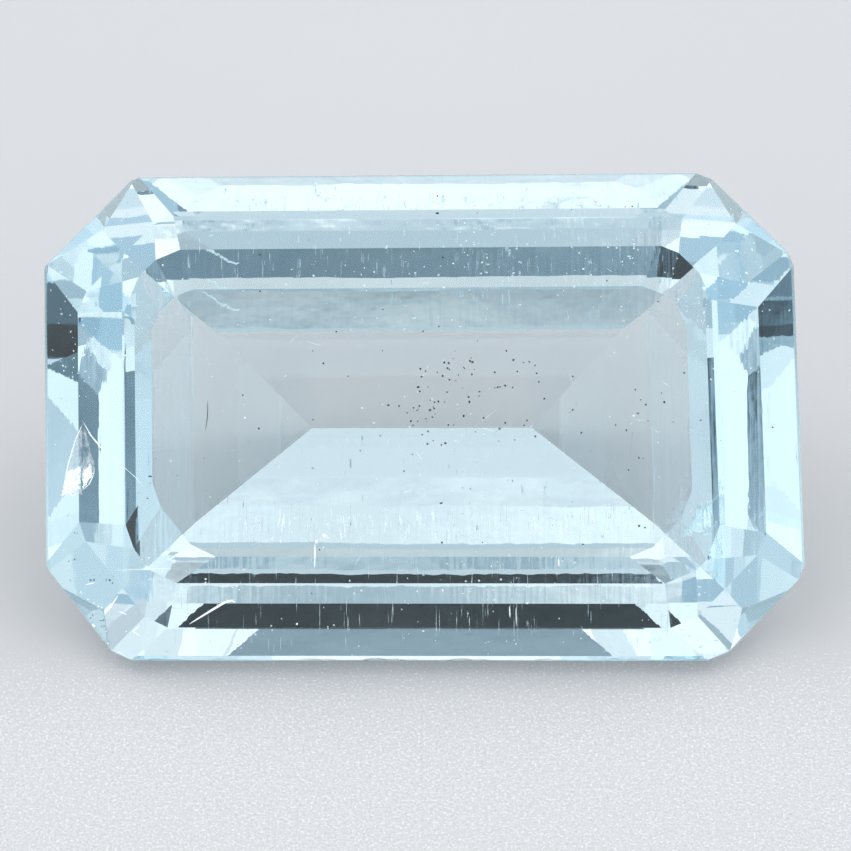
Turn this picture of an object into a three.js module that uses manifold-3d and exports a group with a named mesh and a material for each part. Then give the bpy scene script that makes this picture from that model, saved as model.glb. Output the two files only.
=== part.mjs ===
// A loose aquamarine, rectangular step cut with cut corners, at rest on one of its pavilion facets.
// Millimetres, +Z up. The stone is cut in its own frame, with the table up and the girdle's upper edge
// at height 0, and then laid down.
import * as THREE from 'three';
import { mergeVertices } from 'three/addons/utils/BufferGeometryUtils.js';
import Module from 'manifold-3d';

// Driving dimensions --------------------------------------------------------------------------

const CROWN_HEIGHT = 0.65;
// Share of the crown's height that each of its three steps climbs, from the girdle up.
const CROWN_STEP_SHARES = [0.63, 0.31, 0.06];

// One entry a side of the outline, in order round the stone. facing is the side's direction in the
// plan, in degrees from +X; reach is its distance from the stone's centre line; girdle is the height
// of its upright face; crown holds the plan widths of its three crown steps; pavilion holds
// [slope in degrees, plan width] of its steps; mitre holds the widths of the narrow facets between
// the side and the next one, at the girdle, at the crown's two inner edges and at the table.
const SIDES = [
  {
    name: 'right', facing: 1.4, reach: 4.6, girdle: 0.04, crown: [0.47, 0.57, 0.32],
    pavilion: [[44.9, 1.16], [39, 0.63], [34.8, 0]], mitre: [0.19, 0.32, 0.36, 0.3],
  },
  {
    name: 'far_right', facing: 45.3, reach: 4.63, girdle: 0.04, crown: [0.67, 0.34, 0.48],
    pavilion: [[67, 0.84], [53.9, 1.24], [44.6, 0]], mitre: [0.21, 0.25, 0.23, 0.33],
  },
  {
    name: 'far', facing: 90, reach: 3.06, girdle: 0.13, crown: [0.54, 0.44, 0.495],
    pavilion: [[45.7, 0.7], [44.3, 1.09], [34.8, 0]], mitre: [0.12, 0.26, 0.32, 0.22],
  },
  {
    name: 'far_left', facing: 134.7, reach: 4.64, girdle: 0.04, crown: [0.63, 0.35, 0.49],
    pavilion: [[67, 0.84], [53.9, 1.24], [44.6, 0]], mitre: [0.06, 0.28, 0.46, 0.25],
  },
  {
    name: 'left', facing: 180.2, reach: 4.6, girdle: 0.04, crown: [0.42, 0.57, 0.33],
    pavilion: [[44.9, 1.16], [39, 0.63], [34.8, 0]], mitre: [0.1, 0.25, 0.31, 0.31],
  },
  {
    name: 'near_left', facing: 217.7, reach: 4.69, girdle: 0.17, crown: [0.56, 0.395, 0.57],
    pavilion: [[55.7, 0.48], [53.2, 1.72], [44.8, 0]], mitre: [0.27, 0.31, 0.34, 0.34],
  },
  {
    name: 'near', facing: 269.5, reach: 2.9, girdle: 0.05, crown: [0.36, 0.52, 0.32],
    pavilion: [[50.7, 0.19], [45.4, 0.77], [38.7, 0]], mitre: [0.3, 0.36, 0.41, 0.31],
  },
  {
    name: 'near_right', facing: 315.3, reach: 4.62, girdle: 0.17, crown: [0.55, 0.395, 0.57],
    pavilion: [[55.7, 0.48], [53.2, 1.72], [44.8, 0]], mitre: [0.2, 0.29, 0.45, 0.37],
  },
];
const RESTING_SIDE = 'near';

// Shell-shaped chips along the girdle's upper edge. along is the distance from the side's middle,
// counted anticlockwise round the stone, bite is how far the chip's hollow cuts into the edge, and
// opens is the direction in which the hollow opens, in degrees above level.
const CHIPS = [
  { side: 'near_left', along: 0.35, radius: 0.3, bite: 0.06, opens: 45 },
  { side: 'near_right', along: -0.6, radius: 0.35, bite: 0.08, opens: 45 },
  { side: 'near_right', along: -0.25, radius: 0.2, bite: 0.04, opens: 45 },
];
// The near side's girdle is worn wavy by a run of long shallow chips that overlap.
const WORN_SIDE = 'near';
const WORN_LENGTH = 6.9;
const WORN_CHIPS = 19;
const WORN_RADII = [0.6, 1.2];
const WORN_BITES = [0.006, 0.02];
const WORN_OPENS = 18;
const CHIP_SEGMENTS = 36;

// Anything larger than the stone will do for the rough block and for the grinding wheel.
const WHEEL_SIZE = 40;

const wasm = await Module();
wasm.setup();

// Solids --------------------------------------------------------------------------------------

function solidOf(geometry) {
  const bare = geometry.clone();
  bare.deleteAttribute('normal');
  bare.deleteAttribute('uv');
  const merged = mergeVertices(bare, 1e-6);
  return new wasm.Manifold(new wasm.Mesh({
    numProp: 3,
    vertProperties: new Float32Array(merged.attributes.position.array),
    triVerts: new Uint32Array(merged.index.array),
  }));
}

function geometryOf(solid) {
  const mesh = solid.getMesh();
  const geometry = new THREE.BufferGeometry();
  geometry.setAttribute('position', new THREE.BufferAttribute(new Float32Array(mesh.vertProperties), 3));
  geometry.setIndex(new THREE.BufferAttribute(new Uint32Array(mesh.triVerts), 1));
  return geometry;
}

// Takes away everything beyond the plane through `point` whose outward normal is `normal`.
function grind(stone, point, normal) {
  const wheel = new THREE.BoxGeometry(WHEEL_SIZE, WHEEL_SIZE, WHEEL_SIZE);
  wheel.translate(0, 0, WHEEL_SIZE / 2);
  wheel.applyQuaternion(new THREE.Quaternion().setFromUnitVectors(new THREE.Vector3(0, 0, 1), normal));
  wheel.translate(point.x, point.y, point.z);
  return stone.subtract(solidOf(wheel));
}

// Facets --------------------------------------------------------------------------------------

// Unit vector in the plan, `facing` degrees from +X.
function heading(facing) {
  const angle = THREE.MathUtils.degToRad(facing);
  return new THREE.Vector3(Math.cos(angle), Math.sin(angle), 0);
}

// Outward normal of a facet that slopes by `slope` radians from level; `up` is 1 on the crown.
function facetNormal(facing, slope, up) {
  return heading(facing).multiplyScalar(Math.sin(slope)).setZ(up * Math.cos(slope));
}

// A side's reach at the girdle and at each edge above it, up to the table.
function crownReaches(side) {
  const reaches = [side.reach];
  for (const width of side.crown) reaches.push(reaches.at(-1) - width);
  return reaches;
}

// A mitre faces midway between two sides. At each level it stands back from the corner that they
// would make by as much as gives it its width there.
function mitreBetween(side, next) {
  const turn = THREE.MathUtils.euclideanModulo(next.facing - side.facing, 360);
  const half = THREE.MathUtils.degToRad(turn / 2);
  const nextReaches = crownReaches(next);
  const reaches = crownReaches(side).map((reach, edge) => {
    const corner = (reach + nextReaches[edge]) / (2 * Math.cos(half));
    return corner - (side.mitre[edge] / 2) * Math.tan(half);
  });
  return { facing: side.facing + turn / 2, reaches };
}

// Grinds the girdle upright and the crown's steps above it. `reaches` are the distances from the
// centre line at the girdle and at each edge above it, and all sides change step at the same levels.
function grindCrown(stone, facing, reaches) {
  const outward = heading(facing);
  let cut = grind(stone, outward.clone().multiplyScalar(reaches[0]), outward);
  let level = 0;
  CROWN_STEP_SHARES.forEach((share, step) => {
    const rise = CROWN_HEIGHT * share;
    const slope = Math.atan2(rise, reaches[step] - reaches[step + 1]);
    const point = outward.clone().multiplyScalar(reaches[step]).setZ(level);
    cut = grind(cut, point, facetNormal(facing, slope, 1));
    level += rise;
  });
  return cut;
}

// The pavilion's steps run down from the girdle, each one flatter than the last.
function grindPavilion(stone, side) {
  let cut = stone;
  let reach = side.reach;
  let level = -side.girdle;
  for (const [degrees, width] of side.pavilion) {
    const slope = THREE.MathUtils.degToRad(degrees);
    const point = heading(side.facing).multiplyScalar(reach).setZ(level);
    cut = grind(cut, point, facetNormal(side.facing, slope, -1));
    reach -= width;
    level -= width * Math.tan(slope);
  }
  return cut;
}

// Wear ----------------------------------------------------------------------------------------

// Scoops one shell-shaped chip out of the upper edge of a side's girdle.
function chipEdge(stone, { side, along, radius, bite, opens }) {
  const { facing, reach } = SIDES.find((entry) => entry.name === side);
  const edge = heading(facing).multiplyScalar(reach).addScaledVector(heading(facing + 90), along);
  const outward = facetNormal(facing, THREE.MathUtils.degToRad(90 - opens), 1);
  const centre = edge.addScaledVector(outward, radius - bite);
  const scoop = new THREE.SphereGeometry(radius, CHIP_SEGMENTS, CHIP_SEGMENTS / 2);
  scoop.translate(centre.x, centre.y, centre.z);
  return stone.subtract(solidOf(scoop));
}

// A run of chips whose sizes and places vary by a fixed pattern that never quite repeats.
function wearChips() {
  const golden = (Math.sqrt(5) - 1) / 2;
  return Array.from({ length: WORN_CHIPS }, (_, index) => {
    const sway = ((index + 1) * golden) % 1;
    const drift = ((index + 1) * golden * golden * 3) % 1;
    return {
      side: WORN_SIDE,
      along: WORN_LENGTH * ((index + sway) / WORN_CHIPS - 0.5),
      radius: THREE.MathUtils.lerp(...WORN_RADII, drift),
      bite: THREE.MathUtils.lerp(...WORN_BITES, sway),
      opens: WORN_OPENS,
    };
  });
}

// The stone -----------------------------------------------------------------------------------

function cutStone() {
  let stone = solidOf(new THREE.BoxGeometry(WHEEL_SIZE / 2, WHEEL_SIZE / 2, WHEEL_SIZE / 2));
  const table = new THREE.Vector3(0, 0, CROWN_HEIGHT);
  stone = grind(stone, table, new THREE.Vector3(0, 0, 1));
  SIDES.forEach((side, index) => {
    const mitre = mitreBetween(side, SIDES[(index + 1) % SIDES.length]);
    stone = grindCrown(stone, side.facing, crownReaches(side));
    stone = grindCrown(stone, mitre.facing, mitre.reaches);
    stone = grindPavilion(stone, side);
  });
  for (const chip of [...CHIPS, ...wearChips()]) stone = chipEdge(stone, chip);
  return geometryOf(stone);
}

// Turns the stone so that the resting side's lowest pavilion facet lies flat, and puts the middle
// of the stone's footprint on the origin.
function layDown(geometry) {
  const side = SIDES.find((entry) => entry.name === RESTING_SIDE);
  const [degrees] = side.pavilion.at(-1);
  const normal = facetNormal(side.facing, THREE.MathUtils.degToRad(degrees), -1);
  geometry.applyQuaternion(new THREE.Quaternion().setFromUnitVectors(normal, new THREE.Vector3(0, 0, -1)));
  geometry.computeBoundingBox();
  const box = geometry.boundingBox;
  const middle = box.getCenter(new THREE.Vector3());
  geometry.translate(-middle.x, -middle.y, -box.min.z);
  return geometry;
}

const aquamarine = new THREE.MeshStandardMaterial({ color: 0xb9e0e8, roughness: 0.05, metalness: 0 });
const stone = new THREE.Mesh(layDown(cutStone()), aquamarine);
stone.name = 'cut_stone';

const part = new THREE.Group();
part.add(stone);
export default part;
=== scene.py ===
"""A loose aquamarine, rectangular step cut, lying face up on a frosted slab in a light tent.

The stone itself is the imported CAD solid. This script gives it its clear pale blue body, seals the
natural inclusions inside it, marks its polish, and sets the slab, the tent and the camera.
"""

import logging
import math
import random
from collections import defaultdict
from dataclasses import dataclass, field
from enum import Enum
from typing import Any

import bmesh
import bpy
from mathutils import Matrix, Vector


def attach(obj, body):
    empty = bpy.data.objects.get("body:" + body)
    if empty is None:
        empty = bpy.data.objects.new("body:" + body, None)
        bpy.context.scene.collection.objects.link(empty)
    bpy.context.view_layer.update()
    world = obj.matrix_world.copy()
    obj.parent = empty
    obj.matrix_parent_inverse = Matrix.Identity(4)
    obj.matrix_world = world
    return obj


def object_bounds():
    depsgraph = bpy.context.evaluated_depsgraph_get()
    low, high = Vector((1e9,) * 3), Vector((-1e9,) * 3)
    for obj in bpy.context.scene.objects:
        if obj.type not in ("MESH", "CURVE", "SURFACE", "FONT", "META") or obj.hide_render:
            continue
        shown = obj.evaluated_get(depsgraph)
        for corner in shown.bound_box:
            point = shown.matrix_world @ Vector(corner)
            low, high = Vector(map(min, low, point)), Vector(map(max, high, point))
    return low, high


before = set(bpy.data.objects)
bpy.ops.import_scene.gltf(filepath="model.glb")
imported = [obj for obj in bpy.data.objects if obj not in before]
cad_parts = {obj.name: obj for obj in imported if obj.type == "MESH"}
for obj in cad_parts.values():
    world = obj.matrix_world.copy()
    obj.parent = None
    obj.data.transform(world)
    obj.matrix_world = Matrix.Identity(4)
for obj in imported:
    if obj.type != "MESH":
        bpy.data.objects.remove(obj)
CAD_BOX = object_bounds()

MM = 0.001
RIGHT = Vector((1, 0, 0))
BACK = Vector((0, 1, 0))
BLACK = (0.0, 0.0, 0.0, 1.0)
WHITE = (1.0, 1.0, 1.0, 1.0)
STONE_NODE = "cut_stone"
ROOT_BODY = "root"
STONE_BOUNCES = 24
SLAB_BOUNCES = 4

log = logging.getLogger("aquamarine")

Colour = tuple[float, float, float, float]


# Shader tools ---------------------------------------------------------------------------------


class Signal:
    """A node's output socket, with arithmetic that adds Math nodes."""

    def __init__(self, bench: "NodeBench", socket: bpy.types.NodeSocket) -> None:
        """Wraps a socket.

        Args:
            bench: The bench that makes further nodes in the same tree.
            socket: The output socket that carries the value.
        """
        self.bench = bench
        self.socket = socket

    def _math(self, operation: str, first: Any, second: Any = None) -> "Signal":
        """Adds one Math node.

        Args:
            operation: The Math node's operation.
            first: A number or a Signal.
            second: A number or a Signal, or None where the operation takes one value.

        Returns:
            The node's value.
        """
        inputs = {0: first} if second is None else {0: first, 1: second}
        return self.bench.add("ShaderNodeMath", {"operation": operation}, inputs).out("Value")

    def __add__(self, other: Any) -> "Signal":
        """self + other."""
        return self._math("ADD", self, other)

    def __radd__(self, other: Any) -> "Signal":
        """other + self."""
        return self._math("ADD", other, self)

    def __sub__(self, other: Any) -> "Signal":
        """self - other."""
        return self._math("SUBTRACT", self, other)

    def __rsub__(self, other: Any) -> "Signal":
        """other - self."""
        return self._math("SUBTRACT", other, self)

    def __mul__(self, other: Any) -> "Signal":
        """self * other."""
        return self._math("MULTIPLY", self, other)

    def __rmul__(self, other: Any) -> "Signal":
        """other * self."""
        return self._math("MULTIPLY", other, self)

    def at_least(self, low: float) -> "Signal":
        """self, or `low` where self is less."""
        return self._math("MAXIMUM", self, low)

    def __abs__(self) -> "Signal":
        """The size of self, without its sign."""
        return self._math("ABSOLUTE", self)

    def step_between(self, low: float, high: float) -> "Signal":
        """A smooth step of self.

        Args:
            low: Where the step starts, at 0.
            high: Where the step ends, at 1. It may be the lower of the two, for a falling step.

        Returns:
            The stepped value, from 0 to 1.
        """
        falling = high < low
        ends = {"From Min": min(low, high), "From Max": max(low, high)}
        settings = {"interpolation_type": "SMOOTHSTEP"}
        inputs = {"Value": self, **ends, "To Min": float(falling), "To Max": float(not falling)}
        return self.bench.add("ShaderNodeMapRange", settings, inputs).out("Result")


class Made:
    """A node that the bench has made."""

    def __init__(self, bench: "NodeBench", node: bpy.types.Node) -> None:
        """Keeps the node and its bench."""
        self.bench = bench
        self.node = node

    def out(self, name: str | int) -> Signal:
        """The node's output of that name or number."""
        return Signal(self.bench, self.node.outputs[name])


class NodeBench:
    """Makes and links the nodes of one tree."""

    def __init__(self, tree: bpy.types.NodeTree) -> None:
        """Starts on an emptied tree."""
        self.tree = tree
        tree.nodes.clear()

    def add(
        self,
        kind: str,
        settings: dict[str, Any] | None = None,
        inputs: dict[str | int, Any] | None = None,
    ) -> Made:
        """Makes one node.

        Args:
            kind: The node's type name.
            settings: The node's own properties, set before its sockets.
            inputs: Socket name or number to a plain value or a Signal.

        Returns:
            The made node.
        """
        node = self.tree.nodes.new(kind)
        for name, value in (settings or {}).items():
            setattr(node, name, value)
        for name, value in (inputs or {}).items():
            if isinstance(value, Signal):
                self.tree.links.new(value.socket, node.inputs[name])
            else:
                node.inputs[name].default_value = value
        return Made(self, node)

    def coordinates(self, kind: str) -> Signal:
        """Texture coordinates of that kind, such as Object."""
        return self.add("ShaderNodeTexCoord").out(kind)

    def dot(self, vector: Signal, direction: Vector) -> Signal:
        """The length of `vector` along a fixed direction."""
        inputs = {0: vector, 1: tuple(direction)}
        return self.add("ShaderNodeVectorMath", {"operation": "DOT_PRODUCT"}, inputs).out("Value")

    def stretched(self, vector: Signal, scale: tuple[float, float, float]) -> Signal:
        """`vector` times a scale on each axis."""
        inputs = {0: vector, 1: scale}
        return self.add("ShaderNodeVectorMath", {"operation": "MULTIPLY"}, inputs).out("Vector")

    def noise(self, vector: Signal, scale: float, detail: float = 2.0, roughness: float = 0.5) -> Signal:
        """Fractal noise.

        Args:
            vector: The coordinates that it is read at.
            scale: Features per unit of the coordinates.
            detail: Octaves of finer noise.
            roughness: How strong the finer octaves are.

        Returns:
            The noise, about 0 to 1.
        """
        inputs = {"Vector": vector, "Scale": scale, "Detail": detail, "Roughness": roughness}
        return self.add("ShaderNodeTexNoise", {"noise_dimensions": "3D"}, inputs).out("Fac")

    def blend(self, amount: Signal, first: Any, second: Any) -> Signal:
        """Colour that runs from `first` to `second` as `amount` goes from 0 to 1."""
        inputs = {"Factor": amount, 6: first, 7: second}
        return self.add("ShaderNodeMix", {"data_type": "RGBA"}, inputs).out(2)

    def bump(self, height: Signal, distance: float, strength: float = 1.0) -> Signal:
        """Normal of a surface with that height, whose full range is `distance` metres."""
        inputs = {"Strength": strength, "Distance": distance, "Height": height}
        return self.add("ShaderNodeBump", {}, inputs).out("Normal")


def new_material(name: str) -> tuple[bpy.types.Material, NodeBench]:
    """Starts a node material.

    Args:
        name: The material's name.

    Returns:
        The empty material and the bench for its tree.
    """
    material = bpy.data.materials.new(name)
    material.use_nodes = True
    return material, NodeBench(material.node_tree)


# The stone's own frame ------------------------------------------------------------------------


class StoneFrame:
    """The stone's own axes: x along its length, y across it, z out of the table.

    Places inside the stone are given in millimetres from the table's centre. same_facet is the number
    of decimals to which the normals of one facet agree. clear_above is how far over the table a look
    into the stone starts, skin how far under the surface it goes on from there, and least_cover how
    much stone must be left under a place.
    """

    same_facet: int = 3
    clear_above: float = 1.0
    skin: float = 0.01
    least_cover: float = 0.05

    def __init__(self, stone: bpy.types.Object) -> None:
        """Finds the table, the largest flat facet.

        Args:
            stone: The CAD stone.
        """
        facets: dict[tuple[float, ...], list[bpy.types.MeshPolygon]] = defaultdict(list)
        for polygon in stone.data.polygons:
            facets[tuple(round(part, self.same_facet) for part in polygon.normal)].append(polygon)
        table = max(facets.values(), key=lambda faces: sum(face.area for face in faces))
        area = sum(face.area for face in table)
        self.stone = stone
        self.centre = sum((face.center * face.area for face in table), Vector()) / area
        self.z = table[0].normal.normalized()
        self.x = (RIGHT - self.z * self.z.x).normalized()
        self.y = self.z.cross(self.x)

    def point(self, x: float, y: float, depth: float) -> Vector:
        """World point of a place in the stone.

        Args:
            x: Millimetres right of the table's centre.
            y: Millimetres from it towards the far side.
            depth: Millimetres below the table's plane.

        Returns:
            The point, in metres.
        """
        return self.centre + (self.x * x + self.y * y - self.z * depth) * MM

    def under(self, x: float, y: float, below: float) -> Vector | None:
        """World point at a given depth under the crown's own surface.

        Args:
            x: Millimetres right of the table's centre.
            y: Millimetres from it towards the far side.
            below: Millimetres below the surface there.

        Returns:
            The point, or None where it would lie outside the stone.
        """
        start = self.point(x, y, -self.clear_above)
        hit, surface, _, _ = self.stone.ray_cast(start, -self.z)
        if not hit:
            return None
        hit, back, _, _ = self.stone.ray_cast(surface - self.z * self.skin * MM, -self.z)
        if not hit or (back - surface).length < (below + self.least_cover) * MM:
            return None
        return surface - self.z * below * MM


# Finishes -------------------------------------------------------------------------------------


@dataclass(frozen=True)
class AquamarineFinish:
    """Clear beryl with a breath of blue, polished, with a ground girdle.

    The polish is never quite flat. roll is the slow roll of each facet, wave the finer unevenness,
    and line the lines that polishing leaves across the stone. Their scales are features a metre and
    their heights metres. girdle_level is how far the girdle lies under the table, and girdle_band its
    half width, both in millimetres; girdle_core is the share of the band that is fully ground.
    """

    ior: float = 1.58
    body_colour: Colour = (0.61, 0.88, 0.965, 1.0)
    body_depth: float = 100.0
    roll_scale: float = 420.0
    roll_height: float = 5e-6
    wave_scale: float = 2600.0
    wave_height: float = 5e-7
    line_scale: tuple[float, float, float] = (16000.0, 900.0, 900.0)
    line_height: float = 2.2e-7
    girdle_roughness: float = 0.35
    girdle_level: float = 0.7
    girdle_band: float = 0.08
    girdle_core: float = 0.5

    def make(self, stone: StoneFrame) -> bpy.types.Material:
        """Builds the material.

        Args:
            stone: The stone's frame, for the girdle's level and the lines' direction.

        Returns:
            The material.
        """
        material, bench = new_material("aquamarine_polished")
        place = bench.coordinates("Object")
        across = [bench.dot(place, axis) for axis in (stone.x, stone.y, stone.z)]
        own_place = bench.add("ShaderNodeCombineXYZ", {}, dict(enumerate(across))).out("Vector")
        roll = bench.noise(place, self.roll_scale, detail=1.0)
        wave = bench.noise(place, self.wave_scale, detail=2.0)
        lines = bench.noise(bench.stretched(own_place, self.line_scale), 1.0, detail=1.0)
        relief = roll * self.roll_height + wave * self.wave_height + lines * self.line_height
        height_over_table = across[2] - stone.centre.dot(stone.z)
        off_girdle = abs(height_over_table + self.girdle_level * MM)
        girdle = off_girdle.step_between(self.girdle_band * MM, self.girdle_band * MM * self.girdle_core)
        skin = bench.add(
            "ShaderNodeBsdfPrincipled",
            {},
            {
                "Base Color": WHITE,
                "Roughness": girdle * self.girdle_roughness,
                "IOR": self.ior,
                "Transmission Weight": 1.0,
                "Normal": bench.bump(relief, distance=1.0),
            },
        )
        body = bench.add(
            "ShaderNodeVolumeAbsorption",
            {},
            {"Color": self.body_colour, "Density": self.body_depth},
        )
        bench.add(
            "ShaderNodeOutputMaterial",
            {},
            {"Surface": skin.out("BSDF"), "Volume": body.out("Volume")},
        )
        return material


@dataclass(frozen=True)
class InclusionFinish:
    """Something sealed in the stone: a mottled colour that is more or less see-through.

    silver is how much it mirrors, and glint is a painted glow in the light colour, laid on top of its own
    colour in place of the lamps' light that it would scatter. Hollow tubes and cracks look silvery,
    because light that meets them from inside the stone is turned back. thin and thick are the least and
    the greatest cover, mottle is the scale of the noise between them, and thinnest_at and thickest_at
    are the noise's values there.
    """

    name: str
    dark: Colour
    light: Colour
    roughness: float
    silver: float
    thin: float
    thick: float
    mottle: float
    painted_glow: float = 0.0
    thinnest_at: float = 0.35
    thickest_at: float = 0.65

    def make(self) -> bpy.types.Material:
        """Builds the material.

        Returns:
            The material.
        """
        material, bench = new_material(self.name)
        mottle = bench.noise(bench.coordinates("Object"), self.mottle, detail=3.0)
        covered = mottle.step_between(self.thinnest_at, self.thickest_at)
        cover = covered * (self.thick - self.thin) + self.thin
        skin = bench.add(
            "ShaderNodeBsdfPrincipled",
            {},
            {
                "Base Color": bench.blend(mottle, self.dark, self.light),
                "Roughness": self.roughness,
                "Metallic": self.silver,
                "Alpha": cover,
                # Painted glow: emission in the light colour, laid over the finish.
                "Emission Color": self.light,
                "Emission Strength": self.painted_glow,
            },
        )
        bench.add("ShaderNodeOutputMaterial", {}, {"Surface": skin.out("BSDF")})
        return material


DARK_MINERAL = InclusionFinish(
    "dark_mineral", (0.02, 0.02, 0.022, 1.0), (0.12, 0.11, 0.11, 1.0), 0.5, 0.0, 0.55, 0.95, 60000.0
)
FINE_TUBE = InclusionFinish("fine_tube", (0.94, 0.96, 0.97, 1.0), WHITE, 0.2, 1.0, 0.15, 0.8, 9000.0)
# Half-healed crack: pale and faint, with a painted glow on top.
HEALED_CRACK_PAINTED_GLOW = InclusionFinish(
    "healed_crack_painted_glow", (0.88, 0.95, 1.0, 1.0), (0.92, 0.98, 1.0, 1.0), 0.4, 0.0, 0.0, 0.37, 7000.0, 0.22
)
# Crushed crack: white, with a painted glow on top.
CRUSHED_CRACK_PAINTED_GLOW = InclusionFinish(
    "crushed_crack_painted_glow", (0.92, 0.97, 1.0, 1.0), (0.94, 0.99, 1.0, 1.0), 0.5, 0.0, 0.32, 0.78, 24000.0, 0.42
)
# Bruised white: white crystals and scratches, with a painted glow on top.
BRUISED_WHITE_PAINTED_GLOW = InclusionFinish(
    "bruised_white_painted_glow", (0.92, 0.97, 1.0, 1.0), (0.94, 0.99, 1.0, 1.0), 0.5, 0.0, 0.6, 1.0, 24000.0, 0.42
)


@dataclass(frozen=True)
class SlabFinish:
    """Frosted pale slab, smooth at the back and with a grain and painted highlight specks at the front.

    grain and sparkle are features a metre. The grain fades in from grain_from to grain_to, which are
    millimetres behind the stone's middle. Each sparkle is a painted highlight, a bright speck in the
    slab's colour, full where its noise passes sparkle_full.
    A painted pool of light, a glow of the slab's own, lies under the stone's far half, in place of the
    light that the stone gathers from its crown. The pool's middle and half widths are millimetres, and
    its cores are the shares of the half widths that are fully lit.
    """

    pale: Colour = (0.975, 0.952, 0.965, 1.0)
    shadow: Colour = (0.53, 0.53, 0.53, 1.0)
    grain: float = 26000.0
    grain_contrast: float = 1.5
    grain_height: float = 6e-6
    sparkle: float = 30000.0
    sparkle_from: float = 0.60
    sparkle_full: float = 0.68
    painted_highlight_tone: float = 1.3
    front_lift: float = 0.05
    middle_tone: float = 0.5
    roughness: float = 0.6
    grain_from: float = -1.6
    grain_to: float = -3.4
    painted_pool_light: Colour = (0.075, 0.06, 0.05, 1.0)
    pool_y: float = 1.4
    pool_half_y: float = 1.5
    pool_half_x: float = 1.9
    pool_core_y: float = 0.3
    pool_core_x: float = 0.6

    def pool(self, bench: NodeBench, place: Signal) -> Signal:
        """How much of the painted pool of light glows at a place on the slab.

        Args:
            bench: The bench of the slab's material.
            place: The place, in metres.

        Returns:
            The share, from 0 to 1.
        """
        off_x = abs(bench.dot(place, RIGHT))
        off_y = abs(bench.dot(place, BACK) - self.pool_y * MM)
        across = off_x.step_between(self.pool_half_x * MM, self.pool_half_x * MM * self.pool_core_x)
        along = off_y.step_between(self.pool_half_y * MM, self.pool_half_y * MM * self.pool_core_y)
        return along * across

    def make(self) -> bpy.types.Material:
        """Builds the material.

        Returns:
            The material.
        """
        material, bench = new_material("slab_frosted")
        place = bench.coordinates("Object")
        front = bench.dot(place, BACK).step_between(self.grain_from * MM, self.grain_to * MM)
        grain = bench.noise(place, self.grain, detail=3.0, roughness=0.8)
        # Painted highlights: bright specks in the slab's colour at the front.
        sparkle = bench.noise(place, self.sparkle, detail=1.0)
        painted_highlights = sparkle.step_between(self.sparkle_from, self.sparkle_full)
        front_tone = (grain - self.middle_tone) * self.grain_contrast + painted_highlights * self.painted_highlight_tone
        tone = (front_tone + self.front_lift) * front + self.middle_tone
        skin = bench.add(
            "ShaderNodeBsdfPrincipled",
            {},
            {
                "Base Color": bench.blend(tone, self.shadow, self.pale),
                "Roughness": self.roughness,
                # Painted pool of light: the slab's own glow under the stone's far half.
                "Emission Color": bench.blend(self.pool(bench, place), BLACK, self.painted_pool_light),
                "Emission Strength": 1.0,
                "Normal": bench.bump(grain * front, self.grain_height),
            },
        )
        bench.add("ShaderNodeOutputMaterial", {}, {"Surface": skin.out("BSDF")})
        return material


# What the stone holds -------------------------------------------------------------------------


@dataclass(frozen=True)
class Mark:
    """A straight or bent line on the crown: its points and its width, in millimetres."""

    points: tuple[tuple[float, float], ...]
    width: float


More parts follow.
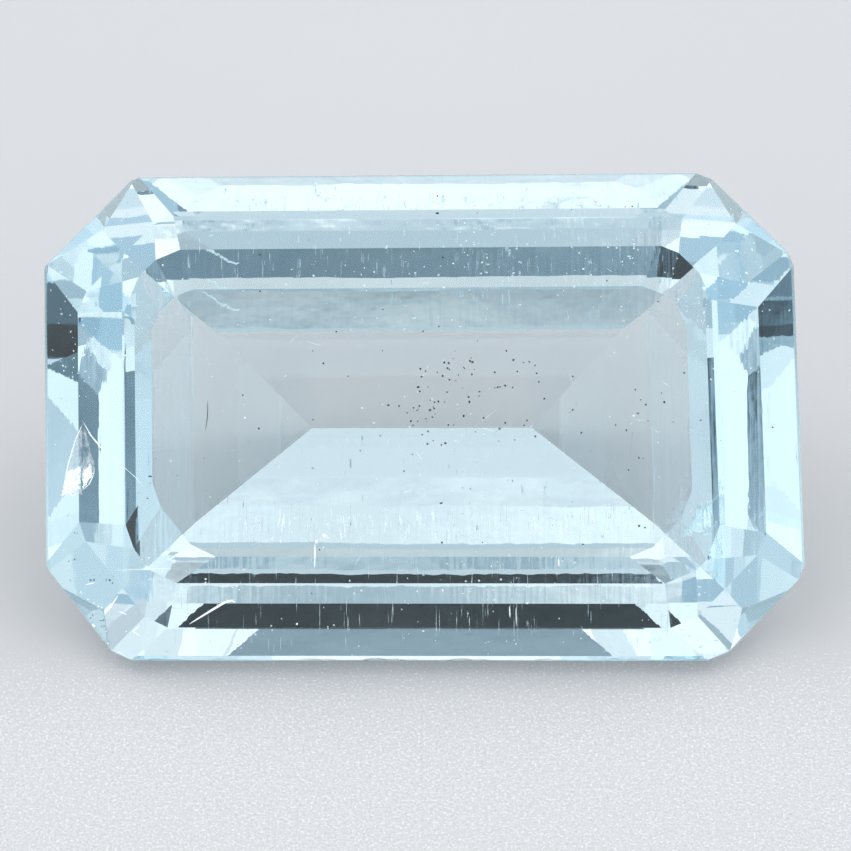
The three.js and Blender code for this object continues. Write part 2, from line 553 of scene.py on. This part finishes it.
class Sketch:
    """Gathers small shapes in the stone's frame and makes one piece of them.

    squash and dent are how far a grain's width and its corners may stray, as shares. blunt is the
    least thickness of a thread's tip, as a share of its width.
    """

    squash: tuple[float, float] = (0.7, 1.3)
    dent: tuple[float, float] = (0.75, 1.25)
    blunt: float = 0.1

    def __init__(self, name: str, stone: StoneFrame, finish: InclusionFinish) -> None:
        """Starts an empty piece.

        Args:
            name: The piece's name.
            stone: The stone's frame.
            finish: What the piece is made of.
        """
        self.name = name
        self.stone = stone
        self.finish = finish
        self.shape = bmesh.new()

    def grain(self, place: Vector, size: float, chance: random.Random) -> None:
        """Adds a small rough crystal.

        Args:
            place: Its middle, in the world.
            size: Its mean diameter in millimetres.
            chance: Where its shape comes from.
        """
        turn = Matrix.Rotation(chance.uniform(0, math.tau), 4, Vector((chance.random(), chance.random(), 1)))
        made = bmesh.ops.create_icosphere(self.shape, subdivisions=1, radius=size / 2 * MM)
        squash = Matrix.Diagonal((chance.uniform(*self.squash), chance.uniform(*self.squash), 1, 1))
        for vertex in made["verts"]:
            vertex.co *= chance.uniform(*self.dent)
        bmesh.ops.transform(
            self.shape, matrix=Matrix.Translation(place) @ turn @ squash, verts=made["verts"]
        )

    def thread(self, path: list[Vector], width: float, sides: int = 5) -> None:
        """Adds a thread that tapers to a point at both ends.

        Args:
            path: The points that it runs through, in the world.
            width: Its greatest diameter in millimetres.
            sides: How many sides it has.
        """
        rings = []
        for index, place in enumerate(path):
            along = (path[min(index + 1, len(path) - 1)] - path[max(index - 1, 0)]).normalized()
            side = along.orthogonal().normalized()
            other = along.cross(side)
            share = index / (len(path) - 1)
            radius = width / 2 * MM * max(self.blunt, math.sin(math.pi * share) ** 0.5)
            ring = []
            for corner in range(sides):
                angle = math.tau * corner / sides
                ring.append(
                    self.shape.verts.new(place + (side * math.cos(angle) + other * math.sin(angle)) * radius)
                )
            rings.append(ring)
        for ring, after in zip(rings, rings[1:]):
            for corner in range(sides):
                beside = (corner + 1) % sides
                self.shape.faces.new((ring[corner], ring[beside], after[beside], after[corner]))
        self.shape.faces.new(reversed(rings[0]))
        self.shape.faces.new(rings[-1])

    def sheet(self, rows: list[list[Vector]], thickness: float) -> None:
        """Adds a thin closed sheet.

        Args:
            rows: Rows of points in the world, each row as long as the others.
            thickness: Its thickness in millimetres.
        """
        lift = self.stone.z * (thickness / 2 * MM)
        rims = []
        for shift, turn in ((lift, -1), (-lift, 1)):
            side = [[self.shape.verts.new(place + shift) for place in row] for row in rows]
            for row, after in zip(side, side[1:]):
                for column in range(len(row) - 1):
                    corners = (row[column], row[column + 1], after[column + 1], after[column])
                    self.shape.faces.new(corners[::turn])
            right = [row[-1] for row in side[1:-1]]
            left = [row[0] for row in side[1:-1]]
            rims.append(side[0] + right + side[-1][::-1] + left[::-1])
        upper, lower = rims
        for index in range(len(upper)):
            self.shape.faces.new((upper[index - 1], upper[index], lower[index], lower[index - 1]))

    def mark(self, mark: Mark, below: float, steps: int = 4) -> None:
        """Draws a line that follows the crown.

        Args:
            mark: The line.
            below: How far under the crown it runs, in millimetres.
            steps: Points on each straight part.
        """
        path = []
        for (x0, y0), (x1, y1) in zip(mark.points, mark.points[1:]):
            for step in range(steps):
                share = step / steps
                path.append(self.stone.under(x0 + (x1 - x0) * share, y0 + (y1 - y0) * share, below))
        path.append(self.stone.under(*mark.points[-1], below))
        self.thread([place for place in path if place is not None], mark.width)

    def finish_piece(self) -> bpy.types.Object:
        """Turns what was gathered into a piece that rides with the stone.

        Returns:
            The piece.
        """
        mesh = bpy.data.meshes.new(self.name)
        self.shape.to_mesh(mesh)
        self.shape.free()
        mesh.materials.append(self.finish.make())
        piece = bpy.data.objects.new(self.name, mesh)
        bpy.context.scene.collection.objects.link(piece)
        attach(piece, ROOT_BODY)
        log.info("%s: %d faces", self.name, len(mesh.polygons))
        return piece


@dataclass(frozen=True)
class Cloud:
    """A cloud of small things: its middle, its half widths and how many it holds.

    x, y and depth are millimetres in the stone's frame, and depth is taken below the crown's surface,
    where shallowest is the least that it may be.
    """

    x: float
    y: float
    depth: float
    half_x: float
    half_y: float
    half_depth: float
    count: int
    shallowest: float = 0.01

    def places(self, stone: StoneFrame, chance: random.Random) -> list[Vector]:
        """Draws the places of the cloud.

        Args:
            stone: The stone's frame.
            chance: Where the places come from.

        Returns:
            The places that lie inside the stone, in the world.
        """
        drawn = []
        for _ in range(self.count):
            x = chance.gauss(self.x, self.half_x / 2)
            y = chance.gauss(self.y, self.half_y / 2)
            below = max(self.shallowest, chance.gauss(self.depth, self.half_depth / 2))
            place = stone.under(x, y, below)
            if place is not None:
                drawn.append(place)
        return drawn


@dataclass
class DarkSpecks:
    """Tiny dark crystals in a loose drift under the table."""

    smallest: float = 0.014
    largest: float = 0.032
    seed: int = 11
    clouds: tuple[Cloud, ...] = (
        Cloud(0.25, 0.35, 0.5, 0.45, 0.55, 0.25, 34),
        Cloud(1.05, 0.25, 0.6, 0.6, 0.5, 0.3, 24),
        Cloud(-0.1, -0.1, 0.6, 0.35, 0.35, 0.2, 14),
        Cloud(0.6, -0.3, 0.6, 2.2, 0.7, 0.4, 20),
        Cloud(2.5, -0.1, 0.6, 0.5, 1.2, 0.4, 12),
        Cloud(0.0, 0.0, 0.4, 4.5, 2.6, 0.5, 34),
    )

    def build(self, stone: StoneFrame) -> None:
        """Scatters the crystals.

        Args:
            stone: The stone's frame.
        """
        chance = random.Random(self.seed)
        sketch = Sketch("dark_specks", stone, DARK_MINERAL)
        for cloud in self.clouds:
            for place in cloud.places(stone, chance):
                sketch.grain(place, chance.uniform(self.smallest, self.largest), chance)
        sketch.finish_piece()


@dataclass
class PaleSpecks:
    """Pinpoint pale crystals just under the crown, which show where the stone is dark, with a painted glow.
    """

    smallest: float = 0.010
    largest: float = 0.027
    seed: int = 23
    clouds: tuple[Cloud, ...] = (
        Cloud(1.4, 1.9, 0.1, 2.4, 0.6, 0.1, 90),
        Cloud(3.85, 1.2, 0.1, 0.5, 1.0, 0.1, 70),
        Cloud(-4.3, 0.8, 0.08, 0.4, 1.0, 0.08, 60),
        Cloud(0.0, -2.35, 0.1, 5.5, 0.9, 0.12, 150),
        Cloud(0.0, 0.0, 0.2, 7.0, 4.5, 0.2, 170),
    )

    def build(self, stone: StoneFrame) -> None:
        """Scatters the crystals.

        Args:
            stone: The stone's frame.
        """
        chance = random.Random(self.seed)
        sketch = Sketch("pale_specks", stone, BRUISED_WHITE_PAINTED_GLOW)
        for cloud in self.clouds:
            for place in cloud.places(stone, chance):
                sketch.grain(place, chance.uniform(self.smallest, self.largest), chance)
        sketch.finish_piece()


@dataclass(frozen=True)
class TubeBand:
    """A band of parallel growth tubes. Distances are millimetres in the stone's frame."""

    count: int
    width: float
    shortest: float
    longest: float
    reach_x: float
    nearest: float
    farthest: float
    deepest: float


@dataclass
class GrowthTubes:
    """Hair-fine growth tubes, all parallel, that run across the stone.

    shortened and thinned are the ranges that a tube's length and width are multiplied by, stray is
    how far its end strays sideways, and shallowest its least depth.
    """

    tubes: TubeBand = TubeBand(220, 0.006, 0.08, 0.5, 3.1, -2.85, -1.2, 0.5)
    far_tubes: TubeBand = TubeBand(70, 0.005, 0.06, 0.3, 3.0, 1.55, 2.3, 0.3)
    fringe: TubeBand = TubeBand(150, 0.010, 0.05, 0.22, 2.4, -1.62, -1.34, 0.06)
    shortened: tuple[float, float] = (0.4, 1.0)
    thinned: tuple[float, float] = (0.5, 1.5)
    stray: float = 0.004
    shallowest: float = 0.02
    steps: int = 4
    seed: int = 37

    def draw(self, sketch: Sketch, band: TubeBand, chance: random.Random) -> None:
        """Draws one band.

        Args:
            sketch: The piece that the tubes join.
            band: The band.
            chance: Where the tubes' places and lengths come from.
        """
        for _ in range(band.count):
            x = chance.uniform(-band.reach_x, band.reach_x)
            y = chance.uniform(band.nearest, band.farthest)
            length = chance.uniform(band.shortest, band.longest) * chance.uniform(*self.shortened)
            below = chance.uniform(self.shallowest, band.deepest)
            ends = [
                sketch.stone.under(x, y, below),
                sketch.stone.under(x + chance.gauss(0, self.stray), y + length, below),
            ]
            if None in ends:
                continue
            path = [ends[0].lerp(ends[1], step / self.steps) for step in range(self.steps + 1)]
            sketch.thread(path, band.width * chance.uniform(*self.thinned))

    def build(self, stone: StoneFrame) -> None:
        """Draws the tubes, and the fringe of crushed ones by the table's near edge, white with a painted
        glow.

        Args:
            stone: The stone's frame.
        """
        chance = random.Random(self.seed)
        tubes = Sketch("growth_tubes", stone, FINE_TUBE)
        self.draw(tubes, self.tubes, chance)
        self.draw(tubes, self.far_tubes, chance)
        tubes.finish_piece()
        fringe = Sketch("tube_fringe", stone, BRUISED_WHITE_PAINTED_GLOW)
        self.draw(fringe, self.fringe, chance)
        fringe.finish_piece()


@dataclass
class Needle:
    """One dark needle under the left of the table, slightly bent, in millimetres."""

    top: tuple[float, float, float] = (-2.63, 0.18, 0.5)
    bottom: tuple[float, float, float] = (-2.66, -0.2, 0.5)
    width: float = 0.011
    bend: float = 0.012
    steps: int = 8
    sides: int = 6

    def build(self, stone: StoneFrame) -> None:
        """Draws the needle.

        Args:
            stone: The stone's frame.
        """
        sketch = Sketch("needle", stone, DARK_MINERAL)
        start, end = Vector(self.top), Vector(self.bottom)
        path = []
        for step in range(self.steps + 1):
            share = step / self.steps
            place = start.lerp(end, share)
            path.append(stone.point(place.x + self.bend * math.sin(math.pi * share), place.y, place.z))
        sketch.thread(path, self.width, self.sides)
        sketch.finish_piece()


@dataclass(frozen=True)
class Lobe:
    """One lobe of a crack: its apex, the two ends of its ragged foot, and its depths in millimetres.

    start is the share of the way from apex to foot at which the lobe begins.
    """

    apex: tuple[float, float]
    foot: tuple[tuple[float, float], tuple[float, float]]
    top_depth: float
    low_depth: float
    start: float = 0.02


@dataclass
class Feather:
    """A half-healed crack that opens at the left girdle and runs on as a hairline.

    veils are its thin see-through lobes, fans the white crushed ones at their feet, and edges the
    lines along which it meets the crown; all of them carry a painted glow on top of their own colour.
    waves and wave_depth are how often and how far, as a share of its depth, a lobe waves from side to side.
    """

    veils: tuple[Lobe, ...] = (
        Lobe((-4.15, -0.12), ((-4.40, -0.95), (-4.16, -0.98)), 0.01, 0.10),
        Lobe((-4.13, -0.12), ((-4.14, -0.94), (-3.98, -0.66)), 0.01, 0.14),
    )
    fans: tuple[Lobe, ...] = (
        Lobe((-4.15, -0.12), ((-4.40, -0.97), (-4.17, -0.90)), 0.01, 0.09, 0.66),
        Lobe((-4.13, -0.12), ((-4.12, -0.90), (-4.02, -0.72)), 0.01, 0.12, 0.78),
    )
    edges: tuple[Mark, ...] = (
        Mark(((-4.15, -0.12), (-4.24, -0.32), (-4.33, -0.60), (-4.40, -0.92)), 0.022),
        Mark(((-4.15, -0.08), (-4.05, -0.26), (-3.93, -0.41), (-3.86, -0.48)), 0.020),
        Mark(((-3.86, -0.48), (-3.72, -0.60), (-3.50, -0.80), (-3.40, -0.92)), 0.009),
        Mark(((-4.40, -0.95), (-4.33, -0.93), (-4.27, -0.99), (-4.20, -0.96)), 0.018),
        Mark(((-4.15, -0.93), (-4.07, -0.86), (-4.02, -0.76), (-4.00, -0.66)), 0.015),
    )
    steps: int = 14
    ragged: float = 0.022
    thickness: float = 0.002
    waves: float = 7.0
    wave_depth: float = 0.5
    edge_depth: float = 0.004
    seed: int = 41

    def lay(self, sketch: Sketch, lobe: Lobe, chance: random.Random) -> None:
        """Lays one lobe as a crinkled sheet.

        Args:
            sketch: The piece that it joins.
            lobe: The lobe.
            chance: Where its crinkles come from.
        """
        rows = []
        left, right = lobe.foot
        for row in range(self.steps + 1):
            down = lobe.start + (1 - lobe.start) * row / self.steps
            depth = lobe.top_depth + (lobe.low_depth - lobe.top_depth) * down
            places = []
            for column in range(self.steps + 1):
                share = column / self.steps
                foot = [a + (b - a) * share for a, b in zip(left, right)]
                x, y = [a + (b - a) * down for a, b in zip(lobe.apex, foot)]
                wobble = self.ragged * down
                x, y = x + chance.uniform(-wobble, wobble), y + chance.uniform(-wobble, wobble)
                waved = 1 + self.wave_depth * math.sin(self.waves * share)
                places.append(sketch.stone.under(x, y, depth * waved))
            rows.append(places)
        spare = next(place for places in rows for place in places if place is not None)
        sketch.sheet([[place or spare for place in places] for places in rows], self.thickness)

    def build(self, stone: StoneFrame) -> None:
        """Lays the crack's lobes and draws its edges.

        Args:
            stone: The stone's frame.
        """
        chance = random.Random(self.seed)
        veil = Sketch("feather_veil", stone, HEALED_CRACK_PAINTED_GLOW)
        for lobe in self.veils:
            self.lay(veil, lobe, chance)
        veil.finish_piece()
        white = Sketch("feather_white", stone, CRUSHED_CRACK_PAINTED_GLOW)
        for lobe in self.fans:
            self.lay(white, lobe, chance)
        for edge in self.edges:
            white.mark(edge, self.edge_depth)
        white.finish_piece()


@dataclass
class SurfaceMarks:
    """Scratches, a nick by the table's near edge, and a bright streak in the near left corner, all white
    with a painted glow on top.

    nick_grains are x, y and size. The fine hairlines lie anywhere within fine_half, and one is left
    out where it would cross from one facet to another by more than fine_level of height.
    """

    below: float = 0.0
    marks: tuple[Mark, ...] = (
        # The bright streak across the dark near facet, white with a painted glow.
        Mark(((-2.86, -2.57), (-2.64, -2.44), (-2.43, -2.32), (-2.34, -2.295), (-2.30, -2.32)), 0.03),
        # The tail under the nick by the table's near edge.
        Mark(((-1.33, -1.62), (-1.33, -1.75), (-1.335, -1.92)), 0.018),
        # The near left corner's scratches.
        Mark(((-3.72, -2.20), (-3.815, -2.33), (-3.88, -2.405)), 0.022),
        Mark(((-4.125, -2.06), (-4.01, -2.04)), 0.014),
        Mark(((-4.19, -2.13), (-4.17, -2.17)), 0.016),
        Mark(((-3.72, -2.39), (-3.62, -2.44)), 0.014),
        Mark(((-3.46, -2.565), (-3.545, -2.64), (-3.44, -2.705)), 0.014),
        Mark(((-3.76, -1.91), (-3.40, -1.915), (-3.07, -1.91)), 0.006),
        Mark(((-4.05, -2.52), (-4.02, -2.56)), 0.03),
        # Short lines in the near facets.
        Mark(((1.02, -2.38), (1.03, -2.52)), 0.016),
        Mark(((1.10, -2.40), (1.105, -2.62)), 0.010),
        Mark(((1.62, -1.82), (1.62, -1.92)), 0.018),
    )
    nick_grains: tuple[tuple[float, float, float], ...] = (
        (-1.21, -1.53, 0.05), (-1.31, -1.60, 0.045), (-1.26, -1.57, 0.02), (-1.17, -1.55, 0.016),
        (-4.10, -2.23, 0.02), (-3.97, -2.32, 0.022), (-3.93, -2.33, 0.018), (-3.63, -2.63, 0.02),
        (-3.42, -1.80, 0.014), (-3.38, -1.75, 0.018), (-3.34, -1.78, 0.02), (-3.30, -1.83, 0.014),
        (-2.39, -2.11, 0.018), (-2.33, -2.14, 0.016), (-2.28, -2.13, 0.02), (-2.25, -2.17, 0.014),
    )
    fine_count: int = 45
    fine_width: float = 0.003
    fine_half: tuple[float, float] = (4.4, 2.8)
    fine_lengths: tuple[float, float] = (0.05, 0.3)
    fine_level: float = 0.02
    fine_steps: int = 3
    fine_sides: int = 4
    seed: int = 53

    def build(self, stone: StoneFrame) -> None:
        """Draws every mark.

        Args:
            stone: The stone's frame.
        """
        chance = random.Random(self.seed)
        sketch = Sketch("surface_marks", stone, BRUISED_WHITE_PAINTED_GLOW)
        for mark in self.marks:
            sketch.mark(mark, self.below)
        for x, y, size in self.nick_grains:
            place = stone.under(x, y, self.below)
            if place is not None:
                sketch.grain(place, size, chance)
        for _ in range(self.fine_count):
            x, y = (chance.uniform(-half, half) for half in self.fine_half)
            angle, length = chance.uniform(0, math.pi), chance.uniform(*self.fine_lengths)
            ends = [
                stone.under(x, y, self.below),
                stone.under(x + length * math.cos(angle), y + length * math.sin(angle), self.below),
            ]
            if None in ends or abs((ends[1] - ends[0]).dot(stone.z)) > self.fine_level * MM:
                continue
            path = [ends[0].lerp(ends[1], step / self.fine_steps) for step in range(self.fine_steps + 1)]
            sketch.thread(path, self.fine_width, self.fine_sides)
        sketch.finish_piece()


# The set --------------------------------------------------------------------------------------


@dataclass
class Slab:
    """The frosted surface that the stone lies on. Its sizes are metres."""

    half_width: float = 1.5
    air_gap: float = 0.015 * MM
    finish: SlabFinish = field(default_factory=SlabFinish)

    def build(self) -> bpy.types.Object:
        """Lays the slab just under the stone.

        Returns:
            The slab.
        """
        mesh = bpy.data.meshes.new("slab")
        shape = bmesh.new()
        bmesh.ops.create_grid(shape, x_segments=1, y_segments=1, size=self.half_width)
        shape.to_mesh(mesh)
        shape.free()
        slab = bpy.data.objects.new("slab", mesh)
        slab.location.z = CAD_BOX[0].z - self.air_gap
        mesh.materials.append(self.finish.make())
        bpy.context.scene.collection.objects.link(slab)
        return slab


class Sides(Enum):
    """Which sides of the tent a patch is on."""

    MIDDLE = "middle"
    BOTH = "both"


@dataclass(frozen=True)
class Patch:
    """A soft-edged round patch of the tent.

    azimuth and elevation are degrees, azimuth 0 behind the stone and positive to its right; reach
    is the patch's half width in degrees; light is what the patch adds, negative for a dark one. It is
    full within core of its reach and fades out at edge of it.
    """

    azimuth: float
    elevation: float
    reach: float
    light: float
    sides: Sides = Sides.MIDDLE
    core: float = 0.5
    edge: float = 1.5

    def directions(self) -> list[Vector]:
        """Where the patch is.

        Returns:
            The unit vectors that point at its middle, one a side.
        """
        azimuth, elevation = math.radians(self.azimuth), math.radians(self.elevation)
        level = math.cos(elevation)
        right = Vector((level * math.sin(azimuth), level * math.cos(azimuth), math.sin(elevation)))
        if self.sides is Sides.MIDDLE:
            return [right]
        return [right, Vector((-right.x, right.y, right.z))]


@dataclass
class LightTent:
    """A white tent round the stone, lit from outside and open at the front.

    light is the cloth's own, which toward_back and upward change from side to side and side_glow
    lifts at both ends. Where the tent is dim it takes on dusk's colour, and from full_day up it has
    day's. tints shift that share of day.
    """

    strength: float = 1.14
    light: float = 0.72
    darkest: float = 0.008
    toward_back: float = -0.13
    upward: float = 0.08
    side_glow: float = 0.07
    day: Colour = (0.965, 0.985, 1.0, 1.0)
    dusk: Colour = (0.48, 0.82, 1.06, 1.0)
    full_day: float = 0.95
    backdrop: Colour = (0.79, 0.81, 0.825, 1.0)
    patches: tuple[Patch, ...] = (
        # Two lamps beside the tent, which light the slab.
        Patch(62.0, 42.0, 22.0, 0.55, Sides.BOTH),
        # Seams in the tent's back wall, and the gap under it.
        Patch(0.0, 55.5, 4.5, -0.8),
        Patch(0.0, 21.0, 17.0, -0.6),
        Patch(0.0, 16.0, 6.0, 1.0),
        # The open front, with the lens and its hood in it, and dim cloth round it.
        Patch(180.0, 13.5, 19.5, -0.73),
        Patch(180.0, 26.3, 2.4, 0.5),
        Patch(161.0, 21.5, 6.0, -0.37, Sides.BOTH),
        Patch(153.5, 23.0, 5.0, -0.24, Sides.BOTH),
        Patch(160.0, 37.5, 6.3, -0.26, Sides.BOTH),
        Patch(180.0, 37.5, 8.0, -0.22),
        Patch(174.5, 60.0, 4.8, -0.32, Sides.BOTH),
        Patch(169.5, 55.7, 1.9, -0.36, Sides.BOTH),
        Patch(-173.0, 56.0, 1.8, -0.35),
        Patch(136.0, 62.5, 9.0, -0.1, Sides.BOTH),
        Patch(26.0, 50.0, 7.0, -0.28, Sides.BOTH),
        Patch(180.0, 48.6, 1.0, -0.42),
        Patch(177.0, 48.6, 1.0, -0.42, Sides.BOTH),
        Patch(174.0, 48.6, 1.0, -0.42, Sides.BOTH),
        Patch(-103.0, 35.0, 8.0, -0.12),
        Patch(-133.0, 63.0, 6.0, -0.1),
        # Bright cloth between them, with two dim patches in it.
        Patch(176.0, 50.1, 2.5, 0.22, Sides.BOTH),
        Patch(170.0, 44.5, 4.0, 0.25),
        Patch(-164.5, 45.0, 3.0, 0.2),
        Patch(-172.5, 41.0, 3.0, -0.15),
        Patch(124.0, 41.0, 8.0, 0.3, Sides.BOTH),
        Patch(162.5, 55.0, 2.6, 0.2, Sides.BOTH),
        Patch(148.0, 52.5, 4.0, 0.2, Sides.BOTH),
        Patch(174.0, 35.0, 4.5, 0.75, Sides.BOTH),
        Patch(180.0, 34.0, 4.0, -0.4),
        Patch(180.0, 65.0, 2.3, 0.3),
        Patch(120.0, 74.0, 7.0, 0.51, Sides.BOTH),
        Patch(108.0, 19.0, 6.0, 0.43, Sides.BOTH),
        Patch(132.0, 19.0, 9.0, 0.25, Sides.BOTH),
        Patch(74.0, 67.0, 14.0, 0.3, Sides.BOTH),
    )
    tints: tuple[Patch, ...] = (
        # Neutral cloth over the open front.
        Patch(180.0, 34.0, 4.5, 0.3),
        # Bluer cloth towards the room.
        Patch(161.0, 39.0, 6.0, -0.35, Sides.BOTH),
        Patch(138.0, 64.0, 8.0, -0.12, Sides.BOTH),
        Patch(100.0, 18.0, 14.0, -0.35, Sides.BOTH),
    )

    def patched(self, bench: NodeBench, level: Signal, patches: tuple[Patch, ...]) -> Signal:
        """Adds patches to a level that varies over the tent.

        Args:
            bench: The bench of the tent's world.
            level: The level without them.
            patches: What to add.

        Returns:
            The level with them.
        """
        toward = bench.coordinates("Generated")
        for patch in patches:
            edge = math.cos(math.radians(patch.reach * patch.edge))
            core = math.cos(math.radians(patch.reach * patch.core))
            for direction in patch.directions():
                level = bench.dot(toward, direction).step_between(edge, core) * patch.light + level
        return level

    def build(self) -> None:
        """Makes the world that the stone reflects and refracts."""
        world = bpy.data.worlds.new("light_tent")
        world.use_nodes = True
        bpy.context.scene.world = world
        bench = NodeBench(world.node_tree)
        toward = bench.coordinates("Generated")
        side = bench.dot(toward, RIGHT)
        light = bench.dot(toward, Vector((0, self.toward_back, self.upward))) + self.light
        light = side * side * self.side_glow + light
        light = self.patched(bench, light, self.patches).at_least(self.darkest)
        day_share = self.patched(bench, light.step_between(0.0, self.full_day), self.tints)
        tint = bench.blend(day_share, self.dusk, self.day)
        tent = bench.add("ShaderNodeBackground", {}, {"Color": tint, "Strength": light * self.strength})
        seen = bench.add("ShaderNodeBackground", {}, {"Color": self.backdrop, "Strength": 1.0})
        camera_ray = bench.add("ShaderNodeLightPath").out("Is Camera Ray")
        both = bench.add(
            "ShaderNodeMixShader", {}, {0: camera_ray, 1: tent.out("Background"), 2: seen.out("Background")}
        )
        bench.add("ShaderNodeOutputWorld", {}, {"Surface": both.out("Shader")})


@dataclass
class MacroCamera:
    """A long macro lens that looks almost straight at the table.

    distance, field and the clips are metres, sensor is millimetres, lean is degrees from the table's
    normal towards the near side, and the aim is millimetres from the table's centre.
    """

    distance: float = 0.1057
    field: float = 10.32 * MM
    sensor: float = 36.0
    lean: float = 6.65
    aim_x: float = 0.018
    aim_y: float = -0.19
    nearest: float = 0.01
    farthest: float = 5.0

    def build(self, stone: StoneFrame) -> bpy.types.Object:
        """Places the camera.

        Args:
            stone: The stone's frame.

        Returns:
            The camera.
        """
        data = bpy.data.cameras.new("macro_lens")
        data.sensor_width = self.sensor
        data.lens = self.sensor * self.distance / self.field
        data.clip_start = self.nearest
        data.clip_end = self.farthest
        camera = bpy.data.objects.new("macro_camera", data)
        lean = math.radians(self.lean)
        toward_camera = stone.z * math.cos(lean) - stone.y * math.sin(lean)
        camera.location = stone.point(self.aim_x, self.aim_y, 0) + toward_camera * self.distance
        camera.rotation_mode = "QUATERNION"
        camera.rotation_quaternion = toward_camera.to_track_quat("Z", "Y")
        bpy.context.scene.collection.objects.link(camera)
        bpy.context.scene.camera = camera
        return camera


def set_light_paths() -> None:
    """Lets light bounce often enough to leave the stone, and keeps the tones plain."""
    scene = bpy.context.scene
    scene.cycles.max_bounces = STONE_BOUNCES
    scene.cycles.glossy_bounces = STONE_BOUNCES
    scene.cycles.transmission_bounces = STONE_BOUNCES
    scene.cycles.diffuse_bounces = SLAB_BOUNCES
    scene.view_settings.view_transform = "Standard"


def main() -> None:
    """Builds everything in order."""
    logging.basicConfig(level=logging.INFO, format="%(name)s: %(message)s")
    set_light_paths()
    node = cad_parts[STONE_NODE]
    stone = StoneFrame(node)
    node.data.materials.clear()
    node.data.materials.append(AquamarineFinish().make(stone))
    log.info("%s: dressed as polished aquamarine", STONE_NODE)
    for content in (DarkSpecks(), PaleSpecks(), GrowthTubes(), Needle(), Feather(), SurfaceMarks()):
        content.build(stone)
    Slab().build()
    LightTent().build()
    MacroCamera().build(stone)


if __name__ == "__main__":
    main()
